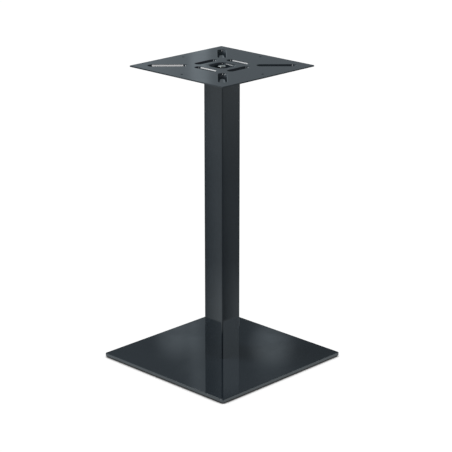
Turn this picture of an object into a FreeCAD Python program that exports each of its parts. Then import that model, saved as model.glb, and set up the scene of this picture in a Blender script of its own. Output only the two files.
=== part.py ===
import FreeCAD, Part
import math
import os

import Sketcher
from FreeCAD import Placement, Rotation, Vector

# Square pedestal leg for a table. The floor is z = 0, the column stands on the z axis, and the
# sides of both plates run along x and y. Lengths are in millimetres and angles in degrees.

doc = FreeCAD.newDocument("TableLeg")

# Driving sizes
SIZES = (
    ("total_height", 720, "floor to the face that carries the table top"),
    ("base_side", 400, "side of the base plate"),
    ("base_thickness", 8, "thickness of the base plate"),
    ("base_corner", 1.5, "chamfer on the upright edges of the base plate"),
    ("base_edge", 0.8, "chamfer along the level edges of the base plate"),
    ("glide_height", 2.5, "thickness of a glide, under the base plate"),
    ("glide_side", 24, "side of a glide"),
    ("glide_corner", 4, "chamfer on the corners of a glide"),
    ("glide_inset", 32, "side of the base plate to the middle of a glide"),
    ("column_side", 60, "outer side of the column"),
    ("column_wall", 2, "wall of the column"),
    ("column_inner_corner", 1, "inner corner radius of the column"),
    ("slide_gap", 0.3, "gap round a piece that slides into another"),
    ("thread_gap", 0.1, "gap round a screw or rod in its threaded bore"),
    ("clearance_gap", 0.5, "gap round a screw or rod in a plain hole"),
    ("block_height", 20, "height of the block in the foot of the column"),
    ("block_chamfer", 2, "chamfer on the upright edges of the block"),
    ("screw_diameter", 6, "diameter of a block screw"),
    ("screw_length", 16, "length of a block screw under its head"),
    ("screw_head", 10, "diameter of a block screw's low round head"),
    ("screw_head_height", 4, "height of that head"),
    ("screw_sink", 0.4, "depth of a screw head's face in the base plate"),
    ("screw_socket", 4, "width across flats of a screw's socket"),
    ("screw_socket_depth", 2.5, "depth of a screw's socket"),
    ("screw_spacing", 34, "distance between neighbouring block screws"),
    ("rod_diameter", 10, "diameter of the tie rod"),
    ("rod_proud", 0.8, "length of the tie rod above its nut"),
    ("rod_tip", 1, "chamfer at the ends of the tie rod"),
    ("nut_flats", 17, "width across flats of the nut"),
    ("nut_height", 8, "height of the nut"),
    ("nut_shoulder", 16.2, "diameter of the flat face left by turning off the nut's corners"),
    ("nut_turning", 30, "slope of those turned corners"),
    ("spring_diameter", 18, "outer diameter of the split washer"),
    ("spring_thickness", 2.2, "thickness of the split washer"),
    ("slit_width", 1.4, "width of the slit in the split washer"),
    ("slit_lean", 0.8, "sideways lean of that slit from bottom to top"),
    ("washer_diameter", 30, "outer diameter of the flat washer"),
    ("washer_thickness", 2.5, "thickness of the flat washer"),
    ("top_side", 300, "side of the top plate"),
    ("top_thickness", 3, "sheet thickness of the top plate"),
    ("top_corner", 1.5, "plan radius at the corners of the top plate"),
    ("cup_gap", 1, "gap between the cup and the inside of the column"),
    ("cup_depth", 14, "depth of the cup"),
    ("cup_draft", 12, "lean of the cup's wall from upright"),
    ("cup_corner", 14, "corner radius of the cup at the top face"),
    ("seat_bead_offset", 52, "axis of the column to the middle of a seat bead"),
    ("seat_bead_length", 66, "length of a seat bead"),
    ("seat_bead_width", 18, "width of a seat bead at the top face"),
    ("seat_bead_depth", 6, "depth of a seat bead"),
    ("seat_bead_draft", 25, "lean of a seat bead's flanks from upright"),
    ("corner_bead_start", 79, "axis of the column to the near end of a corner bead"),
    ("corner_bead_inset", 41, "corner of the top plate to the far end of a corner bead"),
    ("corner_bead_width", 21, "width of a corner bead at the top face"),
    ("corner_bead_depth", 7, "depth of a corner bead"),
    ("corner_bead_draft", 33, "lean of a corner bead's flanks from upright"),
    ("form_rim", 1.2, "chamfer round the mouths of the cup and the beads"),
    ("top_hole", 6, "diameter of a hole for the table top's screws"),
    ("top_hole_inset", 22, "side of the top plate to such a hole"),
)
sizes = doc.addObject("Spreadsheet::Sheet", "Sizes")
for row, (alias, value, meaning) in enumerate(SIZES, start=1):
    sizes.set(f"A{row}", meaning)
    sizes.set(f"B{row}", str(value))
    sizes.setAlias(f"B{row}", alias)
doc.recompute()

# Heights and spans that several pieces share, as expressions on the sheet
PLATE_TOP = "(Sizes.glide_height + Sizes.base_thickness)"
PANEL_UNDERSIDE = "(Sizes.total_height - Sizes.top_thickness)"
CUP_FLOOR = "(Sizes.total_height - Sizes.cup_depth)"
SPRING_LEVEL = f"({CUP_FLOOR} + Sizes.washer_thickness)"
NUT_LEVEL = f"({SPRING_LEVEL} + Sizes.spring_thickness)"
ROD_TOP = f"({NUT_LEVEL} + Sizes.nut_height + Sizes.rod_proud)"
COLUMN_BORE = "(Sizes.column_side - 2 * Sizes.column_wall)"
ROD_BORE = "(Sizes.rod_diameter + 2 * Sizes.thread_gap)"
ROD_HOLE = "(Sizes.rod_diameter + 2 * Sizes.clearance_gap)"
CORNER_BEAD_END = "(Sizes.top_side / sqrt(2) - Sizes.corner_bead_inset)"

TOLERANCE = 0.001
pieces = []


# Helpers
def new_body(label):
    body = doc.addObject("PartDesign::Body", label)
    body.Label = label
    pieces.append(body)
    return body


def new_sketch(body, name, role="XY_Plane"):
    """A sketch on one of the body's own origin planes."""
    plane = next(item for item in body.Origin.OriginFeatures if item.Role == role)
    sketch = body.newObject("Sketcher::SketchObject", name)
    sketch.AttachmentSupport = [(plane, "")]
    sketch.MapMode = "FlatFace"
    return sketch


def size(alias):
    return float(getattr(sizes, alias))


def number(sketch, expression):
    return float(sketch.evalExpression(expression))


def bind(sketch, name, constraint, expression):
    """Adds a constraint whose value follows an expression."""
    index = sketch.addConstraint(constraint)
    sketch.renameConstraint(index, name)
    sketch.setExpression("Constraints." + name, expression)


def circle_outline(sketch, diameter, x="0", y="0"):
    centre = Vector(number(sketch, x), number(sketch, y), 0)
    radius = number(sketch, diameter) / 2
    sketch.addGeometry(Part.Circle(centre, Vector(0, 0, 1), radius), False)
    bind(sketch, "diameter", Sketcher.Constraint("Diameter", 0, 2 * radius), diameter)
    if x == "0":
        sketch.addConstraint(Sketcher.Constraint("PointOnObject", 0, 3, -2))
    else:
        bind(sketch, "across", Sketcher.Constraint("DistanceX", -1, 1, 0, 3, centre.x), x)
    if y == "0":
        sketch.addConstraint(Sketcher.Constraint("PointOnObject", 0, 3, -1))
    else:
        bind(sketch, "along", Sketcher.Constraint("DistanceY", -1, 1, 0, 3, centre.y), y)


def square_outline(sketch, side):
    """A square centred on the sketch's origin."""
    half = number(sketch, side) / 2
    corners = [Vector(x * half, y * half, 0) for x, y in ((-1, -1), (1, -1), (1, 1), (-1, 1))]
    for index in range(4):
        following = (index + 1) % 4
        sketch.addGeometry(Part.LineSegment(corners[index], corners[following]), False)
    for index, direction in enumerate(("Horizontal", "Vertical", "Horizontal", "Vertical")):
        sketch.addConstraint(Sketcher.Constraint("Coincident", index, 2, (index + 1) % 4, 1))
        sketch.addConstraint(Sketcher.Constraint(direction, index))
    sketch.addConstraint(Sketcher.Constraint("Symmetric", 0, 1, 2, 1, -1, 1))
    bind(sketch, "width", Sketcher.Constraint("DistanceX", 0, 1, 0, 2, 2 * half), side)
    bind(sketch, "depth", Sketcher.Constraint("DistanceY", 1, 1, 1, 2, 2 * half), side)


def rounded_outline(sketch, side, corner):
    """A square with rounded corners, centred on the sketch's origin."""
    half = number(sketch, side) / 2
    radius = number(sketch, corner)
    flat = half - radius
    for quarter in range(4):
        turn = Rotation(Vector(0, 0, 1), 90 * quarter)
        start = turn.multVec(Vector(-flat, -half, 0))
        end = turn.multVec(Vector(flat, -half, 0))
        sketch.addGeometry(Part.LineSegment(start, end), False)
        circle = Part.Circle(turn.multVec(Vector(flat, -flat, 0)), Vector(0, 0, 1), radius)
        angle = math.radians(90 * quarter - 90)
        sketch.addGeometry(Part.ArcOfCircle(circle, angle, angle + math.pi / 2), False)
    for index in range(8):
        sketch.addConstraint(Sketcher.Constraint("Tangent", index, 2, (index + 1) % 8, 1))
    for index, direction in enumerate(("Horizontal", "Vertical", "Horizontal", "Vertical")):
        sketch.addConstraint(Sketcher.Constraint(direction, 2 * index))
    for arc in (3, 5, 7):
        sketch.addConstraint(Sketcher.Constraint("Equal", 1, arc))
    sketch.addConstraint(Sketcher.Constraint("Symmetric", 0, 1, 4, 1, -1, 1))
    bind(sketch, "radius", Sketcher.Constraint("Radius", 1, radius), corner)
    bind(sketch, "width", Sketcher.Constraint("DistanceX", 6, 1, 2, 1, 2 * half), side)
    bind(sketch, "depth", Sketcher.Constraint("DistanceY", 0, 1, 4, 1, 2 * half), side)


def slot_outline(sketch, width, length, offset, lengthwise):
    """A slot whose middle lies on the sketch's x axis, offset from the origin. Lengthwise, the slot
    runs along that axis, and otherwise across it. Its end centres are geometry 3 and geometry 1."""
    radius = number(sketch, width) / 2
    reach = number(sketch, length) / 2 - radius
    middle = Vector(number(sketch, offset), 0, 0)
    along = Vector(1, 0, 0) if lengthwise else Vector(0, 1, 0)
    side = Vector(along.y, -along.x, 0) * radius
    first = middle - along * reach
    second = middle + along * reach
    angle = 0 if lengthwise else math.pi / 2
    quarter = math.pi / 2
    second_circle = Part.Circle(second, Vector(0, 0, 1), radius)
    first_circle = Part.Circle(first, Vector(0, 0, 1), radius)
    sketch.addGeometry(Part.LineSegment(first + side, second + side), False)
    sketch.addGeometry(Part.ArcOfCircle(second_circle, angle - quarter, angle + quarter), False)
    sketch.addGeometry(Part.LineSegment(second - side, first - side), False)
    sketch.addGeometry(Part.ArcOfCircle(first_circle, angle + quarter, angle + 3 * quarter), False)
    for index in range(4):
        sketch.addConstraint(Sketcher.Constraint("Tangent", index, 2, (index + 1) % 4, 1))
    sketch.addConstraint(Sketcher.Constraint("Equal", 1, 3))
    bind(sketch, "radius", Sketcher.Constraint("Radius", 1, radius), f"({width}) / 2")
    spine = f"({length}) - ({width})"
    if lengthwise:
        near_centre = f"({offset}) - ({spine}) / 2"
        sketch.addConstraint(Sketcher.Constraint("PointOnObject", 1, 3, -1))
        sketch.addConstraint(Sketcher.Constraint("PointOnObject", 3, 3, -1))
        bind(sketch, "near", Sketcher.Constraint("DistanceX", -1, 1, 3, 3, first.x), near_centre)
        bind(sketch, "spine", Sketcher.Constraint("DistanceX", 3, 3, 1, 3, 2 * reach), spine)
    else:
        sketch.addConstraint(Sketcher.Constraint("Symmetric", 1, 3, 3, 3, -1))
        bind(sketch, "offset", Sketcher.Constraint("DistanceX", -1, 1, 3, 3, first.x), offset)
        bind(sketch, "spine", Sketcher.Constraint("DistanceY", 3, 3, 1, 3, 2 * reach), spine)


def hexagon_outline(sketch, flats):
    """A regular hexagon centred on the sketch's origin, with two corners on the x axis."""
    radius = number(sketch, flats) / math.sqrt(3)
    corners = [Vector(radius, 0, 0)]
    for index in range(1, 6):
        corners.append(Rotation(Vector(0, 0, 1), 60 * index).multVec(corners[0]))
    for index in range(6):
        sketch.addGeometry(Part.LineSegment(corners[index], corners[(index + 1) % 6]), False)
    sketch.addGeometry(Part.Circle(Vector(0, 0, 0), Vector(0, 0, 1), radius), True)
    sketch.addConstraint(Sketcher.Constraint("Coincident", 6, 3, -1, 1))
    for index in range(6):
        sketch.addConstraint(Sketcher.Constraint("Coincident", index, 2, (index + 1) % 6, 1))
        sketch.addConstraint(Sketcher.Constraint("PointOnObject", index, 1, 6))
    for index in range(1, 6):
        sketch.addConstraint(Sketcher.Constraint("Equal", 0, index))
    sketch.addConstraint(Sketcher.Constraint("Horizontal", 1))
    bind(sketch, "corners", Sketcher.Constraint("Radius", 6, radius), f"({flats}) / sqrt(3)")


def profile_outline(sketch, corners):
    """A closed outline of straight lines through corners given as pairs of expressions."""
    points = [Vector(number(sketch, x), number(sketch, y), 0) for x, y in corners]
    count = len(points)
    for index in range(count):
        sketch.addGeometry(Part.LineSegment(points[index], points[(index + 1) % count]), False)
    for index, (x, y) in enumerate(corners):
        sketch.addConstraint(Sketcher.Constraint("Coincident", index, 2, (index + 1) % count, 1))
        if x == "0":
            sketch.addConstraint(Sketcher.Constraint("PointOnObject", index, 1, -2))
        else:
            across = Sketcher.Constraint("DistanceX", -1, 1, index, 1, points[index].x)
            bind(sketch, f"x{index}", across, x)
        if y == "0":
            sketch.addConstraint(Sketcher.Constraint("PointOnObject", index, 1, -1))
        else:
            along = Sketcher.Constraint("DistanceY", -1, 1, index, 1, points[index].y)
            bind(sketch, f"y{index}", along, y)


def pad(body, name, sketch, length, downwards=False, draft=None):
    feature = body.newObject("PartDesign::Pad", name)
    feature.Profile = sketch
    feature.setExpression("Length", length)
    feature.Reversed = downwards
    if draft:
        feature.setExpression("TaperAngle", f"-({draft})")
    return feature


def pocket(body, name, sketch, length=None, upwards=False, draft=None):
    """Cuts downwards from the sketch, or upwards. With no length it goes through everything."""
    feature = body.newObject("PartDesign::Pocket", name)
    feature.Profile = sketch
    feature.Reversed = upwards
    if length:
        feature.setExpression("Length", length)
    else:
        feature.Type = "ThroughAll"
    if draft:
        feature.setExpression("TaperAngle", f"-({draft})")
    return feature


def revolve(body, name, sketch, kind="PartDesign::Revolution"):
    feature = body.newObject(kind, name)
    feature.Profile = sketch
    feature.ReferenceAxis = (sketch, ["V_Axis"])
    feature.Angle = 360
    return feature


def four_times(body, name, feature):
    """Repeats a feature at each quarter turn about the z axis."""
    axis = next(item for item in body.Origin.OriginFeatures if item.Role == "Z_Axis")
    pattern = body.newObject("PartDesign::PolarPattern", name)
    pattern.Originals = [feature]
    pattern.Axis = (axis, [""])
    pattern.Angle = 360
    pattern.Occurrences = 4
    body.Tip = pattern
    return pattern


def soften(body, name, kind, base, edges, length):
    """A fillet or a chamfer on the given edges of the base feature."""
    names = []
    for index, edge in enumerate(base.Shape.Edges, start=1):
        if any(edge.isSame(other) for other in edges):
            names.append(f"Edge{index}")
    feature = body.newObject(kind, name)
    feature.Base = (base, names)
    feature.setExpression("Radius" if kind.endswith("Fillet") else "Size", length)
    doc.recompute()
    return feature


def upright_edges(shape):
    """Straight edges that run along z."""
    found = []
    for edge in shape.Edges:
        first, last = edge.Vertexes[0].Point, edge.Vertexes[-1].Point
        if (first - last).Length > TOLERANCE and math.hypot(first.x - last.x, first.y - last.y) < TOLERANCE:
            found.append(edge)
    return found


def level_face(shape, level, x, y):
    """The flat level face that holds the point (x, y, level)."""
    point = Vector(x, y, level)
    for face in shape.Faces:
        flat = face.BoundBox.ZLength < TOLERANCE and abs(face.BoundBox.ZMin - level) < TOLERANCE
        if flat and face.isInside(point, TOLERANCE, True):
            return face
    raise ValueError(f"no level face at {point}")


def hole_edges(face):
    """The edges of a face's inner wires."""
    inner = [wire for wire in face.Wires if not wire.isSame(face.OuterWire)]
    return [edge for wire in inner for edge in wire.Edges]


# Base plate and glides
def base_plate():
    """A thick square plate with broken edges, counterbored from below for the block's screws.
    The body's origin is on its underside."""
    body = new_body("base_plate")
    outline = new_sketch(body, "BaseOutline")
    square_outline(outline, "Sizes.base_side")
    plate = pad(body, "BaseSheet", outline, "Sizes.base_thickness")
    doc.recompute()
    corners = upright_edges(plate.Shape)
    cornered = soften(body, "BaseCorners", "PartDesign::Chamfer", plate, corners, "Sizes.base_corner")
    top = level_face(cornered.Shape, size("base_thickness"), 0, 0)
    underside = level_face(cornered.Shape, 0, 0, 0)
    edges = top.OuterWire.Edges + underside.OuterWire.Edges
    soften(body, "BaseEdges", "PartDesign::Chamfer", cornered, edges, "Sizes.base_edge")

    place = "Sizes.screw_spacing / 2"
    mark = new_sketch(body, "ScrewMark")
    circle_outline(mark, "Sizes.screw_diameter + 2 * Sizes.clearance_gap", place, place)
    four_times(body, "ScrewHoles", pocket(body, "ScrewHole", mark, upwards=True))
    mark = new_sketch(body, "HeadMark")
    circle_outline(mark, "Sizes.screw_head + 2 * Sizes.clearance_gap", place, place)
    depth = "Sizes.screw_head_height + Sizes.screw_sink"
    four_times(body, "HeadRecesses", pocket(body, "HeadRecess", mark, depth, upwards=True))
    body.setExpression("Placement.Base.z", "Sizes.glide_height")


def floor_glide(number_from_one, x_sign, y_sign):
    """A square plastic pad stuck under the base plate near one of its corners."""
    body = new_body(f"floor_glide_{number_from_one}")
    outline = new_sketch(body, f"GlideOutline{number_from_one}")
    square_outline(outline, "Sizes.glide_side")
    slab = pad(body, f"Glide{number_from_one}", outline, "Sizes.glide_height")
    doc.recompute()
    corners = upright_edges(slab.Shape)
    name = f"GlideCorners{number_from_one}"
    soften(body, name, "PartDesign::Chamfer", slab, corners, "Sizes.glide_corner")
    place = "(Sizes.base_side / 2 - Sizes.glide_inset)"
    body.setExpression("Placement.Base.x", f"{x_sign} * {place}")
    body.setExpression("Placement.Base.y", f"{y_sign} * {place}")


# Column and what it holds at its foot
def column():
    """A square tube with rounded corners, from the base plate to the underside of the top plate."""
    body = new_body("column")
    length = f"{PANEL_UNDERSIDE} - {PLATE_TOP}"
    outside = new_sketch(body, "ColumnOutside")
    rounded_outline(outside, "Sizes.column_side", "Sizes.column_inner_corner + Sizes.column_wall")
    pad(body, "ColumnBar", outside, length)
    inside = new_sketch(body, "ColumnInside")
    rounded_outline(inside, COLUMN_BORE, "Sizes.column_inner_corner")
    pocket(body, "ColumnTube", inside, upwards=True)
    body.setExpression("Placement.Base.z", PLATE_TOP)


def foot_block():
    """A block on the base plate that centres the column and holds the tie rod's lower end."""
    body = new_body("foot_block")
    outline = new_sketch(body, "BlockOutline")
    square_outline(outline, f"{COLUMN_BORE} - 2 * Sizes.slide_gap")
    block = pad(body, "Block", outline, "Sizes.block_height")
    doc.recompute()
    corners = upright_edges(block.Shape)
    soften(body, "BlockCorners", "PartDesign::Chamfer", block, corners, "Sizes.block_chamfer")
    middle = new_sketch(body, "RodBoreMark")
    circle_outline(middle, ROD_BORE)
    pocket(body, "RodBore", middle, upwards=True)
    place = "Sizes.screw_spacing / 2"
    mark = new_sketch(body, "ScrewBoreMark")
    circle_outline(mark, "Sizes.screw_diameter + 2 * Sizes.thread_gap", place, place)
    four_times(body, "ScrewBores", pocket(body, "ScrewBore", mark, upwards=True))
    body.setExpression("Placement.Base.z", PLATE_TOP)


def foot_block_screw(number_from_one, x_sign, y_sign):
    """A low-headed socket screw, sunk in the underside of the base plate."""
    body = new_body(f"foot_block_screw_{number_from_one}")
    outline = new_sketch(body, f"HeadOutline{number_from_one}")
    circle_outline(outline, "Sizes.screw_head")
    pad(body, f"Head{number_from_one}", outline, "Sizes.screw_head_height")
    outline = new_sketch(body, f"ShankOutline{number_from_one}")
    circle_outline(outline, "Sizes.screw_diameter")
    length = "Sizes.screw_head_height + Sizes.screw_length"
    pad(body, f"Shank{number_from_one}", outline, length)
    mark = new_sketch(body, f"SocketMark{number_from_one}")
    hexagon_outline(mark, "Sizes.screw_socket")
    pocket(body, f"Socket{number_from_one}", mark, "Sizes.screw_socket_depth", upwards=True)
    body.setExpression("Placement.Base.x", f"{x_sign} * Sizes.screw_spacing / 2")
    body.setExpression("Placement.Base.y", f"{y_sign} * Sizes.screw_spacing / 2")
    body.setExpression("Placement.Base.z", "Sizes.glide_height + Sizes.screw_sink")


# Tie rod and its hardware
def tie_rod():
    """A round bar with chamfered ends, from the face of the base plate to just above its nut."""
    body = new_body("tie_rod")
    sketch = new_sketch(body, "RodProfile", "XZ_Plane")
    radius = "Sizes.rod_diameter / 2"
    length = f"({ROD_TOP} - {PLATE_TOP})"
    corners = [
        ("0", "0"),
        (f"{radius} - Sizes.rod_tip", "0"),
        (radius, "Sizes.rod_tip"),
        (radius, f"{length} - Sizes.rod_tip"),
        (f"{radius} - Sizes.rod_tip", length),
        ("0", length),
    ]
    profile_outline(sketch, corners)
    revolve(body, "Rod", sketch)
    body.setExpression("Placement.Base.z", PLATE_TOP)


def ring(label, diameter, bore, thickness, level):
    """A flat ring round the tie rod, lying at the given level."""
    body = new_body(label)
    outline = new_sketch(body, label + "_outline")
    circle_outline(outline, diameter)
    pad(body, label + "_disc", outline, thickness)
    mark = new_sketch(body, label + "_bore_mark")
    circle_outline(mark, bore)
    pocket(body, label + "_bore", mark, upwards=True)
    body.setExpression("Placement.Base.z", level)
    return body


def spring_washer():
    """A ring cut through on one side by a leaning slit."""
    thickness = "Sizes.spring_thickness"
    body = ring("tie_rod_spring_washer", "Sizes.spring_diameter", ROD_HOLE, thickness, SPRING_LEVEL)
    sketch = new_sketch(body, "SlitProfile", "XZ_Plane")
    half = "Sizes.slit_width / 2"
    lean = "Sizes.slit_lean / 2"
    corners = [
        (f"-{half} - {lean}", "0"),
        (f"{half} - {lean}", "0"),
        (f"{half} + {lean}", thickness),
        (f"-{half} + {lean}", thickness),
    ]
    profile_outline(sketch, corners)
    pocket(body, "Slit", sketch)


def tie_rod_nut():
    """A hexagon nut with its corners turned off at both faces."""
    body = new_body("tie_rod_nut")
    outline = new_sketch(body, "NutOutline")
    hexagon_outline(outline, "Sizes.nut_flats")
    pad(body, "NutBlank", outline, "Sizes.nut_height")
    shoulder = "Sizes.nut_shoulder / 2"
    outer = "Sizes.nut_flats"
    drop = f"({outer} - {shoulder}) * tan(Sizes.nut_turning)"
    faces = (("Top", "Sizes.nut_height", f"Sizes.nut_height - {drop}"), ("Bottom", "0", drop))
    for name, level, turned in faces:
        sketch = new_sketch(body, "NutTurning" + name, "XZ_Plane")
        profile_outline(sketch, [(shoulder, level), (outer, level), (outer, turned)])
        revolve(body, "NutChamfer" + name, sketch, "PartDesign::Groove")
    mark = new_sketch(body, "NutBoreMark")
    circle_outline(mark, ROD_BORE)
    pocket(body, "NutBore", mark, upwards=True)
    body.setExpression("Placement.Base.z", NUT_LEVEL)


# Top plate
def wall_growth(form):
    """How much further out the outside of a pressed form's leaning wall lies than its inside."""
    return f"Sizes.top_thickness / cos(Sizes.{form}_draft)"


def cup_outline(sketch, growth):
    inside = f"{COLUMN_BORE} / 2 - Sizes.cup_gap"
    half = f"{inside} - {wall_growth('cup')} + Sizes.top_thickness * tan(Sizes.cup_draft) + {growth}"
    rounded_outline(sketch, f"2 * ({half})", f"Sizes.cup_corner + {growth}")


def seat_bead_outline(sketch, growth):
    width = f"Sizes.seat_bead_width + 2 * {growth}"
    length = f"Sizes.seat_bead_length + 2 * {growth}"
    slot_outline(sketch, width, length, "Sizes.seat_bead_offset", lengthwise=False)


def corner_bead_outline(sketch, growth):
    sketch.AttachmentOffset = Placement(Vector(0, 0, 0), Rotation(Vector(0, 0, 1), 45))
    width = f"Sizes.corner_bead_width + 2 * {growth}"
    length = f"{CORNER_BEAD_END} - Sizes.corner_bead_start + 2 * {growth}"
    middle = f"({CORNER_BEAD_END} + Sizes.corner_bead_start) / 2"
    slot_outline(sketch, width, length, middle, lengthwise=True)


FORMS = (("cup", cup_outline), ("seat_bead", seat_bead_outline), ("corner_bead", corner_bead_outline))


def press_outside(body, form, outline):
    """The pressed form as seen from below: a leaning wall and a floor."""
    sketch = new_sketch(body, form + "_outside")
    outline(sketch, wall_growth(form))
    depth = f"Sizes.{form}_depth + Sizes.top_thickness"
    feature = pad(body, form + "_bulge", sketch, depth, downwards=True, draft=f"Sizes.{form}_draft")
    if form != "cup":
        four_times(body, form + "_bulges", feature)


def press_inside(body, form, outline):
    """The hollow of the pressed form, one sheet thickness inside its outside."""
    sketch = new_sketch(body, form + "_inside")
    outline(sketch, "0")
    draft = f"Sizes.{form}_draft"
    feature = pocket(body, form + "_hollow", sketch, f"Sizes.{form}_depth", draft=draft)
    if form != "cup":
        feature = four_times(body, form + "_hollows", feature)
    return feature


def top_plate():
    """A sheet pressed downwards: a square cup that centres the plate in the column and hides the nut,
    four seat beads round the column and four corner beads that stiffen the plate. The body's
    origin is on its top face."""
    body = new_body("top_plate")
    outline = new_sketch(body, "TopOutline")
    square_outline(outline, "Sizes.top_side")
    flat = pad(body, "TopSheet", outline, "Sizes.top_thickness", downwards=True)
    doc.recompute()
    corners = upright_edges(flat.Shape)
    soften(body, "TopCorners", "PartDesign::Fillet", flat, corners, "Sizes.top_corner")
    for form, form_outline in FORMS:
        press_outside(body, form, form_outline)
    for form, form_outline in FORMS:
        feature = press_inside(body, form, form_outline)
    doc.recompute()

    flat_corner = size("top_side") / 2 - size("top_corner")
    rims = hole_edges(level_face(feature.Shape, 0, flat_corner, flat_corner))
    soften(body, "FormRims", "PartDesign::Chamfer", feature, rims, "Sizes.form_rim")

    middle = new_sketch(body, "RodHoleMark")
    circle_outline(middle, ROD_HOLE)
    pocket(body, "RodHole", middle)
    mark = new_sketch(body, "TopHoleMark")
    circle_outline(mark, "Sizes.top_hole", "Sizes.top_side / 2 - Sizes.top_hole_inset")
    four_times(body, "TopHoles", pocket(body, "TopHole", mark))
    body.setExpression("Placement.Base.z", "Sizes.total_height")


# Assembly
QUARTERS = ((1, 1), (-1, 1), (-1, -1), (1, -1))

base_plate()
for index, (x_sign, y_sign) in enumerate(QUARTERS, start=1):
    floor_glide(index, x_sign, y_sign)
column()
foot_block()
for index, (x_sign, y_sign) in enumerate(QUARTERS, start=1):
    foot_block_screw(index, x_sign, y_sign)
tie_rod()
ring("tie_rod_washer", "Sizes.washer_diameter", ROD_HOLE, "Sizes.washer_thickness", CUP_FLOOR)
spring_washer()
tie_rod_nut()
top_plate()
doc.recompute()

# Every feature has to be sound before anything is written
for item in doc.Objects:
    if "Invalid" in item.State or "Error" in item.State:
        raise RuntimeError(f"{item.Name} failed: {item.State}")
for body in pieces:
    if body.Shape.isNull() or not body.Shape.isValid():
        raise RuntimeError(f"{body.Label} has no valid shape")

os.makedirs("parts", exist_ok=True)
for body in pieces:
    body.Shape.exportStep(f"parts/{body.Label}.step")
    box = body.Shape.BoundBox
    print(f"{body.Label}: {len(body.Shape.Solids)} solid, {body.Shape.Volume / 1000:.2f} cm3, "
          f"z {box.ZMin:.2f} to {box.ZMax:.2f}, {box.XLength:.2f} x {box.YLength:.2f}")
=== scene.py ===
# %% [markdown]
# A square pedestal leg for a table, dressed in Blender.
#
# The real object is a heavy steel plate on the floor, a square steel tube and a pressed steel plate
# that carries the table top. One long threaded rod inside the tube pulls the three together, and its
# nut sits in a cup in the middle of the top plate. Everything that shows is sprayed deep gloss black,
# apart from the bright zinc-plated nut and washers.
#
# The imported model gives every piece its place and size. The steps below build each piece again with
# the rounded edges, bends and threads that make steel look like steel, and then give it a finish.

# %% Load the frame
import math

import bmesh
import bpy
from mathutils import Matrix, Vector


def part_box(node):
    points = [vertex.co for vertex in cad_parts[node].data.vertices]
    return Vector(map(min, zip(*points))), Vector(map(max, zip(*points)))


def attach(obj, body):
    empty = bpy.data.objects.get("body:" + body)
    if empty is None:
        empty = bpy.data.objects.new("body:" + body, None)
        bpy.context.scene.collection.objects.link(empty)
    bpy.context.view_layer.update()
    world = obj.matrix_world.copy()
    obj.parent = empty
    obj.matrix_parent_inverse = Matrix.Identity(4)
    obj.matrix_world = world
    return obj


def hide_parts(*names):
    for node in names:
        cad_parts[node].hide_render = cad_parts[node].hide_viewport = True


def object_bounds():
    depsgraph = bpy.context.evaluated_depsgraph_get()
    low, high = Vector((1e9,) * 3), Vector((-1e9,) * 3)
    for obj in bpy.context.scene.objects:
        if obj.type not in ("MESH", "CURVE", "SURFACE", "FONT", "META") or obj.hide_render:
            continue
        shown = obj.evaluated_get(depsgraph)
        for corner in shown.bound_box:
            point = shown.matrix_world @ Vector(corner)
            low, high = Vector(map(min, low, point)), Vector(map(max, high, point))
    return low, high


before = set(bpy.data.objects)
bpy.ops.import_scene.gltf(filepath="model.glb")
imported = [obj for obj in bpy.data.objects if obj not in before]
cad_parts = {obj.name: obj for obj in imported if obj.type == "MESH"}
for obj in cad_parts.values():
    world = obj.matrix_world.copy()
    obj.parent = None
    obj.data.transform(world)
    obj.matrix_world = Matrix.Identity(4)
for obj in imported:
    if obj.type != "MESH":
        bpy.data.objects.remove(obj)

MM = 0.001
cad_low, cad_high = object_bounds()
print("nodes:", ", ".join(sorted(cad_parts)))
print("box:", [round(value / MM, 1) for value in (*cad_low, *cad_high)], "mm")

# %% [markdown]
# Every new piece goes through the same few steps, so they come first as small functions.
#
# A bmesh is turned into an object at the origin, because a finished piece keeps its place in its
# mesh. Its modifiers could stay live, but cutting tools have to be removed afterwards, so the result
# is baked into a new mesh. Faces are shaded smooth and the flat ones are held flat by weighted
# normals: on gloss paint, a normal that tilts by half a degree already bends a reflection.

# %% Helpers that finish a mesh
def object_from(bm, name):
    mesh = bpy.data.meshes.new(name)
    bmesh.ops.recalc_face_normals(bm, faces=bm.faces)
    bm.to_mesh(mesh)
    bm.free()
    piece = bpy.data.objects.new(name, mesh)
    bpy.context.scene.collection.objects.link(piece)
    return piece


def remove_piece(piece):
    mesh = piece.data
    bpy.data.objects.remove(piece)
    bpy.data.meshes.remove(mesh)


def bake_modifiers(piece):
    depsgraph = bpy.context.evaluated_depsgraph_get()
    mesh = bpy.data.meshes.new_from_object(piece.evaluated_get(depsgraph))
    piece.modifiers.clear()
    old, piece.data = piece.data, mesh
    bpy.data.meshes.remove(old)
    mesh.name = piece.name


def combine(piece, tool_bm, operation):
    """Cuts the piece with a tool shape, or keeps only what lies inside it."""
    tool = object_from(tool_bm, "tool")
    modifier = piece.modifiers.new("combine", "BOOLEAN")
    modifier.solver = "EXACT"
    modifier.operation = operation
    modifier.object = tool
    bake_modifiers(piece)
    remove_piece(tool)


def thicken(piece, thickness, quality_normals=False):
    """Gives a skin its thickness, on the side that it turns its back to."""
    modifier = piece.modifiers.new("wall", "SOLIDIFY")
    modifier.thickness = thickness
    modifier.offset = -1
    modifier.use_even_offset = True
    modifier.use_quality_normals = quality_normals
    bake_modifiers(piece)


def soften_edges(piece, width, segments, angle):
    """Rounds the edges where two faces meet at more than an angle, in degrees."""
    modifier = piece.modifiers.new("soften", "BEVEL")
    modifier.width = width
    modifier.segments = segments
    modifier.limit_method = "ANGLE"
    modifier.angle_limit = math.radians(angle)
    bake_modifiers(piece)


FLAT_WEIGHT = 80


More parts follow.
